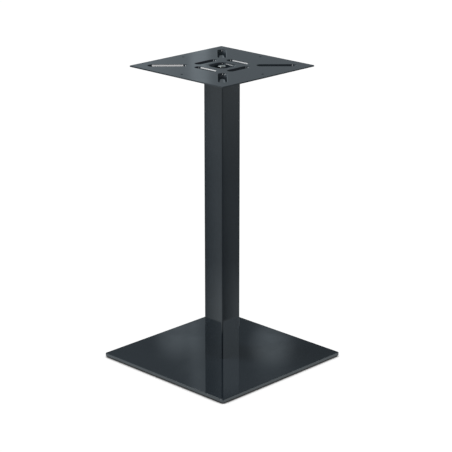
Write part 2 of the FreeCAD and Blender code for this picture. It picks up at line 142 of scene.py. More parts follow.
def finish_piece(piece, material, node, sharp):
    """Shades the piece, gives it its material and puts it in the place of its node."""
    mesh = piece.data
    mesh.shade_smooth()
    mesh.set_sharp_from_angle(angle=math.radians(sharp))
    weighted = piece.modifiers.new("flat faces stay flat", "WEIGHTED_NORMAL")
    weighted.keep_sharp = True
    weighted.weight = FLAT_WEIGHT
    mesh.materials.clear()
    mesh.materials.append(material)
    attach(piece, "root")
    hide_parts(node)
    print(f"{piece.name}: {len(mesh.polygons)} faces")


# %% [markdown]
# Nearly every outline on this object is a rectangle with rounded corners: both plates, the tube, the
# cup, the glides, and even the long beads, whose corners are so round that they meet in half circles.
# One helper draws it as a grid of a single face whose corners are bevelled. Solids that were turned
# on a lathe come from a second helper, which spins a profile once round an upright axis.

# %% Helpers that draw outlines and turned shapes
CORNER_STEPS = 8
FULL_TURN = 2 * math.pi
SAME_PLACE = 1e-7
SQUARE_TO = 1e-4


def rounded_rectangle(bm, length, width, corner, level=0, middle=(0, 0), turn=0, steps=CORNER_STEPS):
    """A level face, length along x and width along y before it is turned about z."""
    made = bmesh.ops.create_grid(bm, x_segments=1, y_segments=1, size=0.5)
    corners = made["verts"]
    bmesh.ops.scale(bm, vec=(length, width, 1), verts=corners)
    rounded = bmesh.ops.bevel(bm, geom=corners, offset=corner, offset_type="OFFSET", segments=steps,
                              profile=0.5, affect="VERTICES", clamp_overlap=True, material=-1)
    linked = {item for vert in rounded["verts"] for item in vert.link_faces}
    face = max(linked, key=lambda item: item.calc_area())
    bmesh.ops.remove_doubles(bm, verts=list(face.verts), dist=SAME_PLACE)
    place = Matrix.Translation((*middle, level)) @ Matrix.Rotation(turn, 4, "Z")
    bmesh.ops.transform(bm, matrix=place, verts=list(face.verts))
    return face


def raise_face(bm, face, height):
    """Makes a prism by lifting a copy of the face."""
    raised = bmesh.ops.extrude_face_region(bm, geom=[face], use_keep_orig=True)
    verts = [item for item in raised["geom"] if isinstance(item, bmesh.types.BMVert)]
    bmesh.ops.translate(bm, vec=(0, 0, height), verts=verts)


def is_cross_section(face, middle):
    """True for a face that lies in an upright plane through the axis."""
    normal = face.normal
    centre = face.calc_center_median() - Vector((*middle, 0))
    radial = Vector((centre.x, centre.y, 0)).normalized()
    return abs(normal.z) < SQUARE_TO and abs(normal.dot(radial)) < SQUARE_TO


def turned(points, middle=(0, 0), steps=64, angle=FULL_TURN):
    """Spins a closed profile of (radius, height) points about an upright axis."""
    bm = bmesh.new()
    verts = [bm.verts.new((middle[0] + radius, middle[1], height)) for radius, height in points]
    face = bm.faces.new(verts)
    whole = angle == FULL_TURN
    bmesh.ops.spin(bm, geom=[face], cent=(*middle, 0), axis=(0, 0, 1), angle=angle, steps=steps,
                   use_merge=whole)
    bmesh.ops.remove_doubles(bm, verts=bm.verts, dist=SAME_PLACE)
    if whole:
        inner = [item for item in bm.faces if is_cross_section(item, middle)]
        bmesh.ops.delete(bm, geom=inner, context="FACES_ONLY")
    return bm


# %% [markdown]
# Gloss paint on steel. The real coat is sprayed and baked, so it is nearly a mirror with a very fine
# ripple, called orange peel, and with faint clouds where hands and packing have touched it. A plain
# black with low roughness would look like plastic film, so both effects go in as small node groups
# that other finishes can use too. Reading Object coordinates keeps them fixed to the metal.

# %% Node helpers
def feed(tree, socket, value):
    """Sets a socket to a number, or links another socket to it."""
    if isinstance(value, (int, float)):
        socket.default_value = value
    else:
        tree.links.new(value, socket)


def noise(tree, coordinates, scale, detail, roughness=0.5):
    node = tree.nodes.new("ShaderNodeTexNoise")
    node.inputs["Detail"].default_value = detail
    node.inputs["Roughness"].default_value = roughness
    tree.links.new(coordinates, node.inputs["Vector"])
    feed(tree, node.inputs["Scale"], scale)
    return node.outputs["Fac"]


def remap(tree, value, low, high, to_low, to_high):
    """Stretches a range of values to another range, and holds it at its ends."""
    node = tree.nodes.new("ShaderNodeMapRange")
    labels = ("Value", "From Min", "From Max", "To Min", "To Max")
    for label, setting in zip(labels, (value, low, high, to_low, to_high)):
        feed(tree, node.inputs[label], setting)
    return node.outputs["Result"]


def calculate(tree, operation, *values):
    node = tree.nodes.new("ShaderNodeMath")
    node.operation = operation
    for socket, value in zip(node.inputs, values):
        feed(tree, socket, value)
    return node.outputs[0]


def object_coordinates(tree):
    return tree.nodes.new("ShaderNodeTexCoord").outputs["Object"]


def new_group(name, inputs, outputs):
    """An empty shader group with its number inputs and outputs."""
    group = bpy.data.node_groups.new(name, "ShaderNodeTree")
    kind = "NodeSocketFloat"
    for label, value in inputs.items():
        socket = group.interface.new_socket(name=label, in_out="INPUT", socket_type=kind)
        socket.default_value = value
    for label in outputs:
        group.interface.new_socket(name=label, in_out="OUTPUT", socket_type=kind)
    return group, group.nodes.new("NodeGroupInput"), group.nodes.new("NodeGroupOutput")


# %% The shared effects
CLOUDS_PER_METRE = 7
CLOUD_RANGE = (0.45, 0.75)
MOTTLE_RANGE = (0.35, 0.65)


def orange_peel_group():
    """Height of the fine ripple that a sprayed coat dries with."""
    group, entry, leave = new_group("orange peel", {"Ripples per metre": 350}, ["Height"])
    fine = noise(group, object_coordinates(group), entry.outputs["Ripples per metre"], detail=1)
    group.links.new(fine, leave.inputs["Height"])
    return group


def handling_group():
    """Roughness of a surface with faint clouds and rubbed spots."""
    group, entry, leave = new_group("handling clouds", {"Clean": 0.05, "Rubbed": 0.12}, ["Roughness"])
    clouds = noise(group, object_coordinates(group), CLOUDS_PER_METRE, detail=4, roughness=0.6)
    result = remap(group, clouds, *CLOUD_RANGE, entry.outputs["Clean"], entry.outputs["Rubbed"])
    group.links.new(result, leave.inputs["Roughness"])
    return group


def mottle_group():
    """A colour mix that wanders between 0 and 1, coarse and fine together."""
    inputs = {"Coarse per metre": 60, "Fine per metre": 900}
    group, entry, leave = new_group("mottle", inputs, ["Mix", "Height"])
    place = object_coordinates(group)
    coarse = noise(group, place, entry.outputs["Coarse per metre"], detail=3)
    fine = noise(group, place, entry.outputs["Fine per metre"], detail=4, roughness=0.7)
    average = calculate(group, "MULTIPLY_ADD", fine, 0.5, calculate(group, "MULTIPLY", coarse, 0.5))
    group.links.new(remap(group, average, *MOTTLE_RANGE, 0, 1), leave.inputs["Mix"])
    group.links.new(fine, leave.inputs["Height"])
    return group


ORANGE_PEEL = orange_peel_group()
HANDLING = handling_group()
MOTTLE = mottle_group()
print("groups:", ", ".join(group.name for group in (ORANGE_PEEL, HANDLING, MOTTLE)))

# %% [markdown]
# Each material is one Principled shader whose fixed numbers are set on its own sockets. The groups
# feed only its colour, roughness and bump. The paint needs two groups of its own. Zinc, black oxide
# and nylon differ only in their numbers, so one function makes them all. The block's steel was sawn,
# so its noise is stretched into lines.

# %% Materials
PAINT_TONES = ((0.0085, 0.0122, 0.0160), (0.0105, 0.0145, 0.0190))
ZINC_TONES = ((0.66, 0.67, 0.66), (0.78, 0.76, 0.70))
OXIDE_TONES = ((0.045, 0.045, 0.05), (0.085, 0.083, 0.08))
NYLON_TONES = ((0.030, 0.030, 0.031), (0.045, 0.045, 0.046))
STEEL_TONES = ((0.30, 0.29, 0.28), (0.46, 0.45, 0.43))
SAW_LINES_PER_METRE = 60
SAW_LINE_STRETCH = (1, 1, 40)
SAW_LINE_ROUGHNESS = (0.3, 0.7, 0.32, 0.5)


def new_material(name, metallic):
    material = bpy.data.materials.new(name)
    material.use_nodes = True
    shader = material.node_tree.nodes["Principled BSDF"]
    shader.inputs["Metallic"].default_value = metallic
    shader.inputs["IOR"].default_value = 1.5
    return material, material.node_tree, shader


def place_group(tree, group, **values):
    node = tree.nodes.new("ShaderNodeGroup")
    node.node_tree = group
    for label, value in values.items():
        node.inputs[label.replace("_", " ")].default_value = value
    return node


def two_tone(tree, factor, first, second):
    node = tree.nodes.new("ShaderNodeMix")
    node.data_type = "RGBA"
    node.inputs["A"].default_value = (*first, 1)
    node.inputs["B"].default_value = (*second, 1)
    tree.links.new(factor, node.inputs["Factor"])
    return node.outputs["Result"]


def bump(tree, shader, height, distance):
    node = tree.nodes.new("ShaderNodeBump")
    node.inputs["Distance"].default_value = distance
    node.inputs["Strength"].default_value = 1
    tree.links.new(height, node.inputs["Height"])
    tree.links.new(node.outputs["Normal"], shader.inputs["Normal"])


def gloss_black():
    material, tree, shader = new_material("gloss black paint", metallic=0)
    mottle = place_group(tree, MOTTLE, Coarse_per_metre=9, Fine_per_metre=120)
    tree.links.new(two_tone(tree, mottle.outputs["Mix"], *PAINT_TONES), shader.inputs["Base Color"])
    handling = place_group(tree, HANDLING, Clean=0.05, Rubbed=0.10)
    tree.links.new(handling.outputs["Roughness"], shader.inputs["Roughness"])
    peel = place_group(tree, ORANGE_PEEL, Ripples_per_metre=260)
    bump(tree, shader, peel.outputs["Height"], distance=0.003 * MM)
    return material


def mottled(name, metallic, tones, roughness, coarse, fine, relief):
    """A finish whose colour, roughness and relief follow one mottle."""
    material, tree, shader = new_material(name, metallic)
    mottle = place_group(tree, MOTTLE, Coarse_per_metre=coarse, Fine_per_metre=fine)
    mix = mottle.outputs["Mix"]
    tree.links.new(two_tone(tree, mix, *tones), shader.inputs["Base Color"])
    tree.links.new(remap(tree, mix, 0, 1, *roughness), shader.inputs["Roughness"])
    bump(tree, shader, mottle.outputs["Height"], relief)
    return material


def sawn_steel():
    material, tree, shader = new_material("sawn steel", metallic=1)
    stretch = tree.nodes.new("ShaderNodeMapping")
    stretch.inputs["Scale"].default_value = SAW_LINE_STRETCH
    tree.links.new(object_coordinates(tree), stretch.inputs["Vector"])
    lines = noise(tree, stretch.outputs["Vector"], SAW_LINES_PER_METRE, detail=5, roughness=0.7)
    tree.links.new(two_tone(tree, lines, *STEEL_TONES), shader.inputs["Base Color"])
    tree.links.new(remap(tree, lines, *SAW_LINE_ROUGHNESS), shader.inputs["Roughness"])
    bump(tree, shader, lines, distance=0.06 * MM)
    return material


PAINT = gloss_black()
ZINC = mottled("bright zinc plate", metallic=1, tones=ZINC_TONES, roughness=(0.14, 0.24),
               coarse=180, fine=2200, relief=0.03 * MM)
OXIDE = mottled("black oxide", metallic=1, tones=OXIDE_TONES, roughness=(0.35, 0.5),
                coarse=150, fine=1500, relief=0.02 * MM)
NYLON = mottled("black nylon", metallic=0, tones=NYLON_TONES, roughness=(0.5, 0.65),
                coarse=120, fine=2500, relief=0.08 * MM)
STEEL = sawn_steel()
print("materials:", ", ".join(item.name for item in (PAINT, ZINC, OXIDE, NYLON, STEEL)))

# %% [markdown]
# The base plate is cut from thick sheet, and its edges are dressed so that they don't chip the paint.
# It could be the CAD mesh with a smooth material, but a chamfer reflects as one hard stripe, while
# the real rounded edge gives a soft bright line. So a rounded rectangle is lifted to the sheet's
# thickness and both rims are bevelled in a few steps. The screw recesses below are bored out last.

# %% Base plate
BASE_CORNER = 1.6 * MM
BASE_EDGE = 0.9 * MM
BASE_EDGE_STEPS = 4
SCREW_PLACE = 17 * MM
RECESS_RADIUS = 5.5 * MM
RECESS_DEPTH = 4.4 * MM
SCREW_HOLE_RADIUS = 3.5 * MM
OVERCUT = 1 * MM


def level_rim(bm, levels):
    """Edges that lie wholly at one of the given heights."""
    found = []
    for edge in bm.edges:
        heights = [vert.co.z for vert in edge.verts]
        if any(all(abs(height - level) < SAME_PLACE for height in heights) for level in levels):
            found.append(edge)
    return found


def cylinder(middle, radius, low, high, steps=48):
    bm = bmesh.new()
    place = Matrix.Translation((*middle, (low + high) / 2))
    bmesh.ops.create_cone(bm, cap_ends=True, segments=steps, radius1=radius, radius2=radius,
                          depth=high - low, matrix=place)
    return bm


def slab(bm, low, high, corner, edge, edge_steps):
    """A level block with rounded upright edges and softened rims, between two corners."""
    middle = ((low.x + high.x) / 2, (low.y + high.y) / 2)
    face = rounded_rectangle(bm, high.x - low.x, high.y - low.y, corner, low.z, middle)
    raise_face(bm, face, high.z - low.z)
    bmesh.ops.recalc_face_normals(bm, faces=bm.faces)
    rims = level_rim(bm, (low.z, high.z))
    bmesh.ops.bevel(bm, geom=rims, offset=edge, offset_type="OFFSET", segments=edge_steps,
                    profile=0.5, affect="EDGES", clamp_overlap=True, material=-1)


base_low, base_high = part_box("base_plate")
bm = bmesh.new()
slab(bm, base_low, base_high, BASE_CORNER, BASE_EDGE, BASE_EDGE_STEPS)
base_plate = object_from(bm, "base_plate_painted")
recess_top = base_low.z + RECESS_DEPTH
for x_sign, y_sign in ((1, 1), (-1, 1), (-1, -1), (1, -1)):
    middle = (x_sign * SCREW_PLACE, y_sign * SCREW_PLACE)
    recess = cylinder(middle, RECESS_RADIUS, base_low.z - OVERCUT, recess_top)
    combine(base_plate, recess, "DIFFERENCE")
    hole = cylinder(middle, SCREW_HOLE_RADIUS, recess_top - OVERCUT, base_high.z + OVERCUT)
    combine(base_plate, hole, "DIFFERENCE")
finish_piece(base_plate, PAINT, "base_plate", sharp=40)

# %% [markdown]
# The column is a square tube, rolled and welded, so its corners are round inside and out. A rounded
# square is lifted to the tube's length, its two caps are taken off, and a Solidify modifier gives the
# skin its 2 mm wall towards the inside.

# %% Column
COLUMN_CORNER = 3 * MM
COLUMN_WALL = 2 * MM
COLUMN_STEPS = 10

column_low, column_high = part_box("column")
column_side = column_high.x - column_low.x
bm = bmesh.new()
skin = rounded_rectangle(bm, column_side, column_side, COLUMN_CORNER, column_low.z, steps=COLUMN_STEPS)
raise_face(bm, skin, column_high.z - column_low.z)
caps = [face for face in bm.faces if len(face.verts) > 4]
bmesh.ops.delete(bm, geom=caps, context="FACES_ONLY")
column = object_from(bm, "column_painted")
thicken(column, COLUMN_WALL)
finish_piece(column, PAINT, "column", sharp=40)

# %% [markdown]
# The top plate is the richest piece: one sheet, pressed in a tool. In its middle a square cup goes
# down into the tube, round the cup lie four short beads, and a long bead runs out to each corner. It
# could be sculpted on a dense grid, but gloss paint shows every wobble of such a surface. Instead each
# form starts as a flat outline in the sheet and is pressed in with inset steps, ring by ring: a round
# rim, a straight leaning wall and a round bend into the floor.

# %% How a form is pressed
BEND_STEPS = 6


def bend_steps(radius, lean):
    """Inward and downward parts of each step of a bend, from level to the wall's slope."""
    turn = math.pi / 2 - math.radians(lean)
    angles = [turn * index / BEND_STEPS for index in range(BEND_STEPS + 1)]
    inward = [radius * math.sin(angle) for angle in angles]
    down = [radius * (1 - math.cos(angle)) for angle in angles]
    return [(inward[i + 1] - inward[i], down[i + 1] - down[i]) for i in range(BEND_STEPS)]


def rim_reach(radius, lean):
    """How far outside the sharp mouth of a form its rim bend begins."""
    return radius * math.tan((math.pi / 2 - math.radians(lean)) / 2)


def press(bm, face, depth, lean, rim, floor_bend):
    """Presses a face of the sheet down by a depth, and the face becomes the floor."""
    rim_steps = bend_steps(rim, lean)
    floor_steps = list(reversed(bend_steps(floor_bend, lean)))
    straight = depth - sum(down for inward, down in rim_steps + floor_steps)
    wall_step = (straight * math.tan(math.radians(lean)), straight)
    for inward, down in [*rim_steps, wall_step, *floor_steps]:
        bmesh.ops.inset_region(bm, faces=[face], use_boundary=True, use_even_offset=True,
                               thickness=inward, depth=-down)


def fill_between(bm, edges):
    """Fills the sheet between closed outlines with level triangles."""
    bmesh.ops.triangle_fill(bm, use_beauty=True, use_dissolve=False, edges=list(edges), normal=(0, 0, 1))


def hole_outline(bm, radius, middle, level):
    place = Matrix.Translation((*middle, level))
    made = bmesh.ops.create_circle(bm, cap_ends=False, segments=40, radius=radius, matrix=place)
    return {edge for vert in made["verts"] for edge in vert.link_edges}


# %% [markdown]
# First all outlines are laid flat in one level: the sheet's own edge, the cup, the beads and the
# screw holes. The face of the sheet could be cut by hand round each form, but a fill between the
# outlines does it in one step and leaves a flat surface, which is what a mirror needs.

# %% Outlines of the top plate
TOP_CORNER = 1.5 * MM
CUP_MOUTH = 49.14 * MM
CUP_CORNER = 14 * MM
CUP_RIM = 4.6 * MM
CUP_LEAN = 12
SEAT_BEAD = dict(length=66 * MM, width=18 * MM, depth=6 * MM, lean=25, rim=2.0 * MM, floor_bend=6 * MM)
SEAT_BEAD_OFFSET = 52 * MM
CORNER_BEAD = dict(length=92.13 * MM, width=21 * MM, depth=7 * MM, lean=33, rim=1.8 * MM,
                   floor_bend=8 * MM)
CORNER_BEAD_START = 79 * MM
TOP_HOLE_RADIUS = 3 * MM
TOP_HOLE_OFFSET = 128 * MM


def polar(offset, turn):
    return (offset * math.cos(turn), offset * math.sin(turn))


def bead_outline(bm, level, form, offset, turn, outward):
    """Draws a bead that lies outward from the axis, or across that direction."""
    reach = rim_reach(form["rim"], form["lean"])
    length = form["length"] + 2 * reach
    width = form["width"] + 2 * reach
    sides = (length, width) if outward else (width, length)
    return rounded_rectangle(bm, *sides, width / 2, level, polar(offset, turn), turn)


top_low, top_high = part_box("top_plate")
top_level = top_high.z
top_side = top_high.x - top_low.x
bm = bmesh.new()
sheet_face = rounded_rectangle(bm, top_side, top_side, TOP_CORNER, top_level, steps=4)
rim_edges = set(sheet_face.edges)
bmesh.ops.delete(bm, geom=[sheet_face], context="FACES_ONLY")

cup_reach = rim_reach(CUP_RIM, CUP_LEAN)
cup_side = CUP_MOUTH + 2 * cup_reach
cup = rounded_rectangle(bm, cup_side, cup_side, CUP_CORNER + cup_reach, top_level)
corner_bead_offset = CORNER_BEAD_START + CORNER_BEAD["length"] / 2
beads = []
for quarter in range(4):
    turn = quarter * math.pi / 2
    seat_bead = bead_outline(bm, top_level, SEAT_BEAD, SEAT_BEAD_OFFSET, turn, outward=False)
    beads.append((seat_bead, SEAT_BEAD))
    diagonal = turn + math.pi / 4
    corner_bead = bead_outline(bm, top_level, CORNER_BEAD, corner_bead_offset, diagonal, outward=True)
    beads.append((corner_bead, CORNER_BEAD))
    rim_edges |= hole_outline(bm, TOP_HOLE_RADIUS, polar(TOP_HOLE_OFFSET, turn), top_level)
for face in [cup] + [face for face, form in beads]:
    rim_edges |= set(face.edges)
fill_between(bm, rim_edges)
for face in bm.faces:
    face.normal_update()
bmesh.ops.reverse_faces(bm, faces=[face for face in bm.faces if face.normal.z < 0])
print("flat sheet:", len(bm.faces), "faces,", len(beads), "beads")

# %% [markdown]
# Now the forms are pressed in, and the cup's floor gets its hole for the rod. Solidify gives the
# sheet its thickness, so the underside bulges just as it does on the real plate.

# %% Top plate
CUP_DEPTH = 14 * MM
CUP_FLOOR_BEND = 3 * MM
ROD_HOLE_RADIUS = 5.5 * MM
TOP_EDGE = 0.7 * MM

for face, form in beads:
    press(bm, face, form["depth"], form["lean"], form["rim"], form["floor_bend"])
press(bm, cup, CUP_DEPTH, CUP_LEAN, CUP_RIM, CUP_FLOOR_BEND)
floor_edges = set(cup.edges)
bmesh.ops.delete(bm, geom=[cup], context="FACES_ONLY")
floor_edges |= hole_outline(bm, ROD_HOLE_RADIUS, (0, 0), top_level - CUP_DEPTH)
fill_between(bm, floor_edges)
top_plate = object_from(bm, "top_plate_painted")
thicken(top_plate, top_level - column_high.z, quality_normals=True)
soften_edges(top_plate, TOP_EDGE, segments=3, angle=70)
finish_piece(top_plate, PAINT, "top_plate", sharp=40)

# %% [markdown]
# The rod's ends carry a rolled thread. A fine thread could be a bump, but the rod's tip stands above
# the nut and shows its thread from the side, so it is real here: one tooth of the profile is spun
# upwards in a helix, a turn at a time, and a blank with chamfered ends trims it.

# %% Threads
THREAD_STEPS = 32
THREAD_TOOTH = ((0, 0), (0, 1 / 4), (1, 9 / 16), (1, 11 / 16), (0, 1))
# As shares of the pitch: depth of a metric thread, start below the bar, and cut beyond its ends.
THREAD_DEPTH = 0.6134
THREAD_START = 1.5
THREAD_MARGIN = 0.4


def thread(radius, pitch, low, high, tip, middle=(0, 0)):
    """A closed threaded bar between two heights, with chamfered ends."""
    depth = THREAD_DEPTH * pitch
    turns = math.ceil((high - low) / pitch) + 2
    start = low - pitch * THREAD_START
    bm = bmesh.new()
    verts = []
    for out, up in THREAD_TOOTH:
        reach = middle[0] + radius - depth * (1 - out)
        verts.append(bm.verts.new((reach, middle[1], start + pitch * up)))
    edges = [bm.edges.new((verts[i], verts[i + 1])) for i in range(len(verts) - 1)]
    bmesh.ops.spin(bm, geom=verts + edges, cent=(*middle, 0), axis=(0, 0, 1),
                   dvec=(0, 0, pitch / THREAD_STEPS), angle=FULL_TURN * turns,
                   steps=THREAD_STEPS * turns)
    bmesh.ops.remove_doubles(bm, verts=bm.verts, dist=1e-6)
    margin = pitch * THREAD_MARGIN
    for height, normal in ((low - margin, (0, 0, -1)), (high + margin, (0, 0, 1))):
        everything = bm.verts[:] + bm.edges[:] + bm.faces[:]
        cut = bmesh.ops.bisect_plane(bm, geom=everything, dist=SAME_PLACE, plane_co=(0, 0, height),
                                     plane_no=normal, clear_outer=True)
        rim = [item for item in cut["geom_cut"] if isinstance(item, bmesh.types.BMEdge)]
        bmesh.ops.contextual_create(bm, geom=rim)
    piece = object_from(bm, "thread")
    blank = [(0, low), (radius - tip, low), (radius, low + tip),
             (radius, high - tip), (radius - tip, high), (0, high)]
    combine(piece, turned(blank, middle), "INTERSECT")
    return piece


def join_pieces(name, pieces):
    """One mesh from several separate solids."""
    bm = bmesh.new()
    for piece in pieces:
        bm.from_mesh(piece.data)
        remove_piece(piece)
    return object_from(bm, name)


# %% Tie rod
ROD_RADIUS = 5 * MM
ROD_PITCH = 1.5 * MM
ROD_TIP = 1 * MM
ROD_TOP_THREAD = 40 * MM
ROD_FOOT_THREAD = 22 * MM
SHANK_RADIUS = 4.6 * MM

rod_low, rod_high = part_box("tie_rod")
shank_low = rod_low.z + ROD_FOOT_THREAD
shank_high = rod_high.z - ROD_TOP_THREAD
upper = thread(ROD_RADIUS, ROD_PITCH, shank_high, rod_high.z, ROD_TIP)
lower = thread(ROD_RADIUS, ROD_PITCH, rod_low.z, shank_low, ROD_TIP)
outline = [(0, shank_low), (SHANK_RADIUS, shank_low), (SHANK_RADIUS, shank_high), (0, shank_high)]
shank = object_from(turned(outline), "shank")
tie_rod = join_pieces("tie_rod_threaded", [upper, shank, lower])
finish_piece(tie_rod, ZINC, "tie_rod", sharp=35)

# %% [markdown]
# The flat washer is stamped and the spring washer is a bent square wire, and tumbling in the plating
# bath has rounded both. They could be bevelled tubes, but a ring turned from a softened section needs
# no second step. The spring washer stops short of a full turn, which leaves its slit.

# %% Washers
WASHER_BORE = 5.5 * MM
WASHER_EDGE = 0.35 * MM
ROUNDING = 0.3
SLIT_ANGLE = math.radians(11)


def ring_section(low, high):
    """The softened rectangle that a ring is turned from, between two corners of its box."""
    inner, outer, edge = WASHER_BORE, high.x, WASHER_EDGE
    cut = edge * ROUNDING
    return [(inner + edge, low.z), (outer - edge, low.z), (outer - cut, low.z + cut),
            (outer, low.z + edge), (outer, high.z - edge), (outer - cut, high.z - cut),
            (outer - edge, high.z), (inner + edge, high.z), (inner + cut, high.z - cut),
            (inner, high.z - edge), (inner, low.z + edge), (inner + cut, low.z + cut)]


section = ring_section(*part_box("tie_rod_washer"))
washer = object_from(turned(section, steps=96), "flat_washer_plated")
finish_piece(washer, ZINC, "tie_rod_washer", sharp=60)

section = ring_section(*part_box("tie_rod_spring_washer"))
bm = turned(section, steps=72, angle=FULL_TURN - SLIT_ANGLE)
slit_to_front = Matrix.Rotation(SLIT_ANGLE / 2 - math.pi / 2, 3, "Z")
bmesh.ops.rotate(bm, cent=(0, 0, 0), matrix=slit_to_front, verts=bm.verts)
spring_washer = object_from(bm, "spring_washer_plated")
finish_piece(spring_washer, ZINC, "tie_rod_spring_washer", sharp=60)

# %% [markdown]
# A hexagon nut gets its look from the corners, which are turned off in a cone, so that each side face
# ends in a curve. The blank is a six-sided prism. Keeping only what lies inside a turned shape cuts
# those curves exactly, and a second turned shape bores it.

# %% Nut
NUT_FLATS = 17 * MM
NUT_SHOULDER = 8.1 * MM
NUT_SLOPE = math.tan(math.radians(30))
NUT_BORE = 5.05 * MM
NUT_MOUTH = 0.8 * MM
NUT_EDGE = 0.15 * MM


def hexagon(flats, middle, low, high):
    """A six-sided prism with two of its corners on the x axis."""
    bm = bmesh.new()
    turn = Matrix.Rotation(math.radians(30), 4, "Z")
    place = Matrix.Translation((*middle, (low + high) / 2)) @ turn
    corner = flats / math.sqrt(3)
    bmesh.ops.create_cone(bm, cap_ends=True, segments=6, radius1=corner, radius2=corner,
                          depth=high - low, matrix=place)
    return bm


nut_low, nut_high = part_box("tie_rod_nut")
low, high = nut_low.z, nut_high.z
nut = object_from(hexagon(NUT_FLATS, (0, 0), low, high), "nut_plated")
widest = NUT_SHOULDER + (high - low) / 2 / NUT_SLOPE
double_cone = [(0, low), (NUT_SHOULDER, low), (widest, (low + high) / 2), (NUT_SHOULDER, high), (0, high)]
combine(nut, turned(double_cone, steps=96), "INTERSECT")
mouth = NUT_BORE + NUT_MOUTH + OVERCUT
bore = [(0, low - OVERCUT), (mouth, low - OVERCUT), (NUT_BORE, low + NUT_MOUTH),
        (NUT_BORE, high - NUT_MOUTH), (mouth, high + OVERCUT), (0, high + OVERCUT)]
combine(nut, turned(bore), "DIFFERENCE")
soften_edges(nut, NUT_EDGE, segments=2, angle=22)
finish_piece(nut, ZINC, "tie_rod_nut", sharp=60)

# %% [markdown]
# Under the base plate are the four screws that hold the foot block, seen only when the leg is turned
# over. A screw is a turned head and a threaded shank, and its hexagon socket is sunk with a six-sided
# cutter. The block itself is hidden in the tube, so its CAD mesh is right as it is and only gets its
# steel.

# %% Foot block and its screws
SCREW_HEAD = 5 * MM
SCREW_HEAD_EDGE = 0.4 * MM
HEAD_HEIGHT = 4 * MM
SCREW_RADIUS = 3 * MM
SCREW_PITCH = 1 * MM
SCREW_TIP = 0.6 * MM
SOCKET_FLATS = 4 * MM
SOCKET_DEPTH = 2.5 * MM

block_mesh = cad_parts["foot_block"].data
block_mesh.materials.clear()
block_mesh.materials.append(STEEL)


def block_screw(number):
    node = f"foot_block_screw_{number}"
    low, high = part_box(node)
    middle = ((low.x + high.x) / 2, (low.y + high.y) / 2)
    top = low.z + HEAD_HEIGHT
    edge = SCREW_HEAD_EDGE
    cut = edge * ROUNDING
    profile = [(0, low.z), (SCREW_HEAD - edge, low.z), (SCREW_HEAD - cut, low.z + cut),
               (SCREW_HEAD, low.z + edge), (SCREW_HEAD, top), (0, top)]
    head = object_from(turned(profile, middle), "head")
    socket = hexagon(SOCKET_FLATS, middle, low.z - OVERCUT, low.z + SOCKET_DEPTH)
    combine(head, socket, "DIFFERENCE")
    shank = thread(SCREW_RADIUS, SCREW_PITCH, top, high.z, SCREW_TIP, middle)
    screw = join_pieces(node + "_blackened", [head, shank])
    finish_piece(screw, OXIDE, node, sharp=40)


for number in range(1, 5):
    block_screw(number)

# %% [markdown]
# The leg stands on four square pads of nylon, stuck under the base plate. They are moulded, so their
# rims are round. The helper that made the base plate makes them too.

# %% Floor glides
GLIDE_CORNER = 4 * MM
GLIDE_EDGE = 0.5 * MM

for number in range(1, 5):
    node = f"floor_glide_{number}"
    bm = bmesh.new()
    slab(bm, *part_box(node), GLIDE_CORNER, GLIDE_EDGE, edge_steps=3)
    glide = object_from(bm, f"glide_pad_{number}")
    finish_piece(glide, NYLON, node, sharp=40)

# %% [markdown]
# The studio is plain: a pale floor, a white room and soft lamps, which light every colour about as it
# is written. Gloss black shows almost nothing of its own colour, only what stands round it. A bright
# room would wash it out and an empty one would leave it flat, so floor and room have a second
# pattern that only glossy rays see. It is a painted reflection: its bright and dark places light nothing
# and show only in the paint's mirror. Places in it are given as seen from the camera: across to the
# right, away from it, and up.

# %% Directions in the studio
VIEW_AZIMUTH = math.radians(44.5)
SCREEN_RIGHT = Vector((math.cos(VIEW_AZIMUTH), math.sin(VIEW_AZIMUTH), 0))
LEFT = -SCREEN_RIGHT
AWAY = Vector((-math.sin(VIEW_AZIMUTH), math.cos(VIEW_AZIMUTH), 0))
UP = Vector((0, 0, 1))
WHITE = (1, 1, 1)


def along(tree, vector, direction):
    """How far a point or a ray goes in one direction."""
    node = tree.nodes.new("ShaderNodeVectorMath")
    node.operation = "DOT_PRODUCT"
    node.inputs[1].default_value = direction
    tree.links.new(vector, node.inputs[0])
    return node.outputs["Value"]


def soft_band(tree, value, middle, fade, strength):
    """A band round one value, which fades out between two distances from it."""
    distance = calculate(tree, "ABSOLUTE", calculate(tree, "SUBTRACT", value, middle))
    return remap(tree, distance, *fade, strength, 0)


def seen_directly(tree, rays):
    """1 for what the camera sees itself or through glass."""
    return calculate(tree, "MAXIMUM", rays.outputs["Is Camera Ray"], rays.outputs["Is Transmission Ray"])


print("from the camera, right is", [round(part, 3) for part in SCREEN_RIGHT])

# %% [markdown]
# The tube mirrors the floor. It could be one grey, but then the tube's two sides would look alike and
# flat. So the floor carries a painted reflection that only glossy rays see. It is brighter at the left,
# has a painted pool of light round the leg and a painted bright rim just outside the base plate, and it
# fades across the width of the tube.

# %% Floor as the paint mirrors it
POOL = 0.38
POOL_FADE = (0.40, 0.75)
RIGHT_POOL_SHARE = 0.4
LEFT_FLOOR = 0.46
RIGHT_FLOOR = 0.19
SIDE_FADE = (-0.2, 0.2)
LEFT_BAND = (0.006, -0.045, 0.30, 1.32)
RIGHT_BAND = (-0.032, 0.0, 0.70, 1.9)
FAR_FLOOR = 0.30
FAR_FADE = (1.6, 3.0)
PAINTED_RIM_GLOW = 1.5
RIM_FADE = (0.014, 0.026)


def distance_from_leg(tree, place):
    length = tree.nodes.new("ShaderNodeVectorMath")
    length.operation = "LENGTH"
    tree.links.new(place, length.inputs[0])
    return length.outputs["Value"]


def distance_from_plate(tree, place):
    """How far a point lies outside the base plate, measured squarely."""
    parts = tree.nodes.new("ShaderNodeSeparateXYZ")
    tree.links.new(place, parts.inputs[0])
    x_reach = calculate(tree, "ABSOLUTE", parts.outputs["X"])
    y_reach = calculate(tree, "ABSOLUTE", parts.outputs["Y"])
    return calculate(tree, "SUBTRACT", calculate(tree, "MAXIMUM", x_reach, y_reach), base_high.x)
